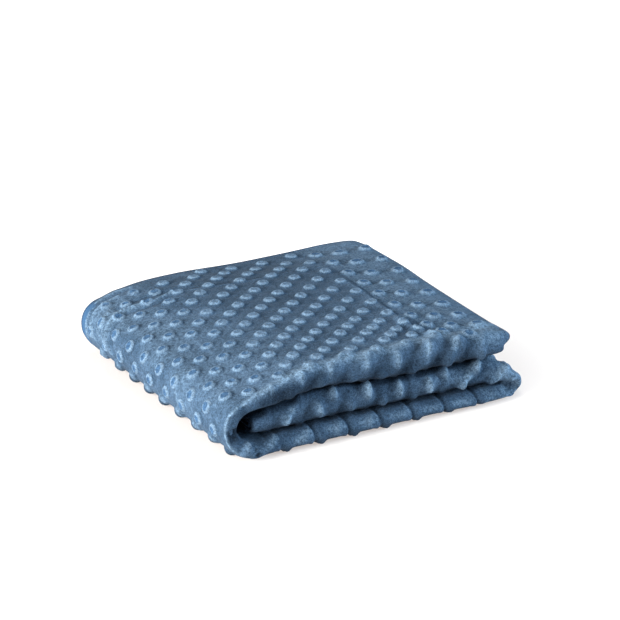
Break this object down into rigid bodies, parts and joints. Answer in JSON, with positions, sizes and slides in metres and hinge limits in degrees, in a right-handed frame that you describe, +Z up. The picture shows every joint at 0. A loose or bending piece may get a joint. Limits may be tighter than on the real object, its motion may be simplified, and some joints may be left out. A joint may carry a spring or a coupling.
{
  "type": "folded baby blanket",
  "caption": "Blue plush baby blanket with raised round dots, folded lengthwise and then in thirds into a flat squarish stack with a rounded left turn.",
  "frame": {"origin": "on the surface that the stack lies on, under the middle of its outline", "axes": "+Z up through the stack of layers, -Y towards the long rounded front folds, -X towards the rounded turn of the strip and +X towards the free end of the top layer"},
  "size_m": [0.255, 0.2474, 0.0591],
  "materials": {
    "plush": "short dense polyester pile with a soft sheen, raised round dots lighter at their rims"
  },
  "bodies": {
    "root": {"blanket": "plush"}
  },
  "joints": []
}
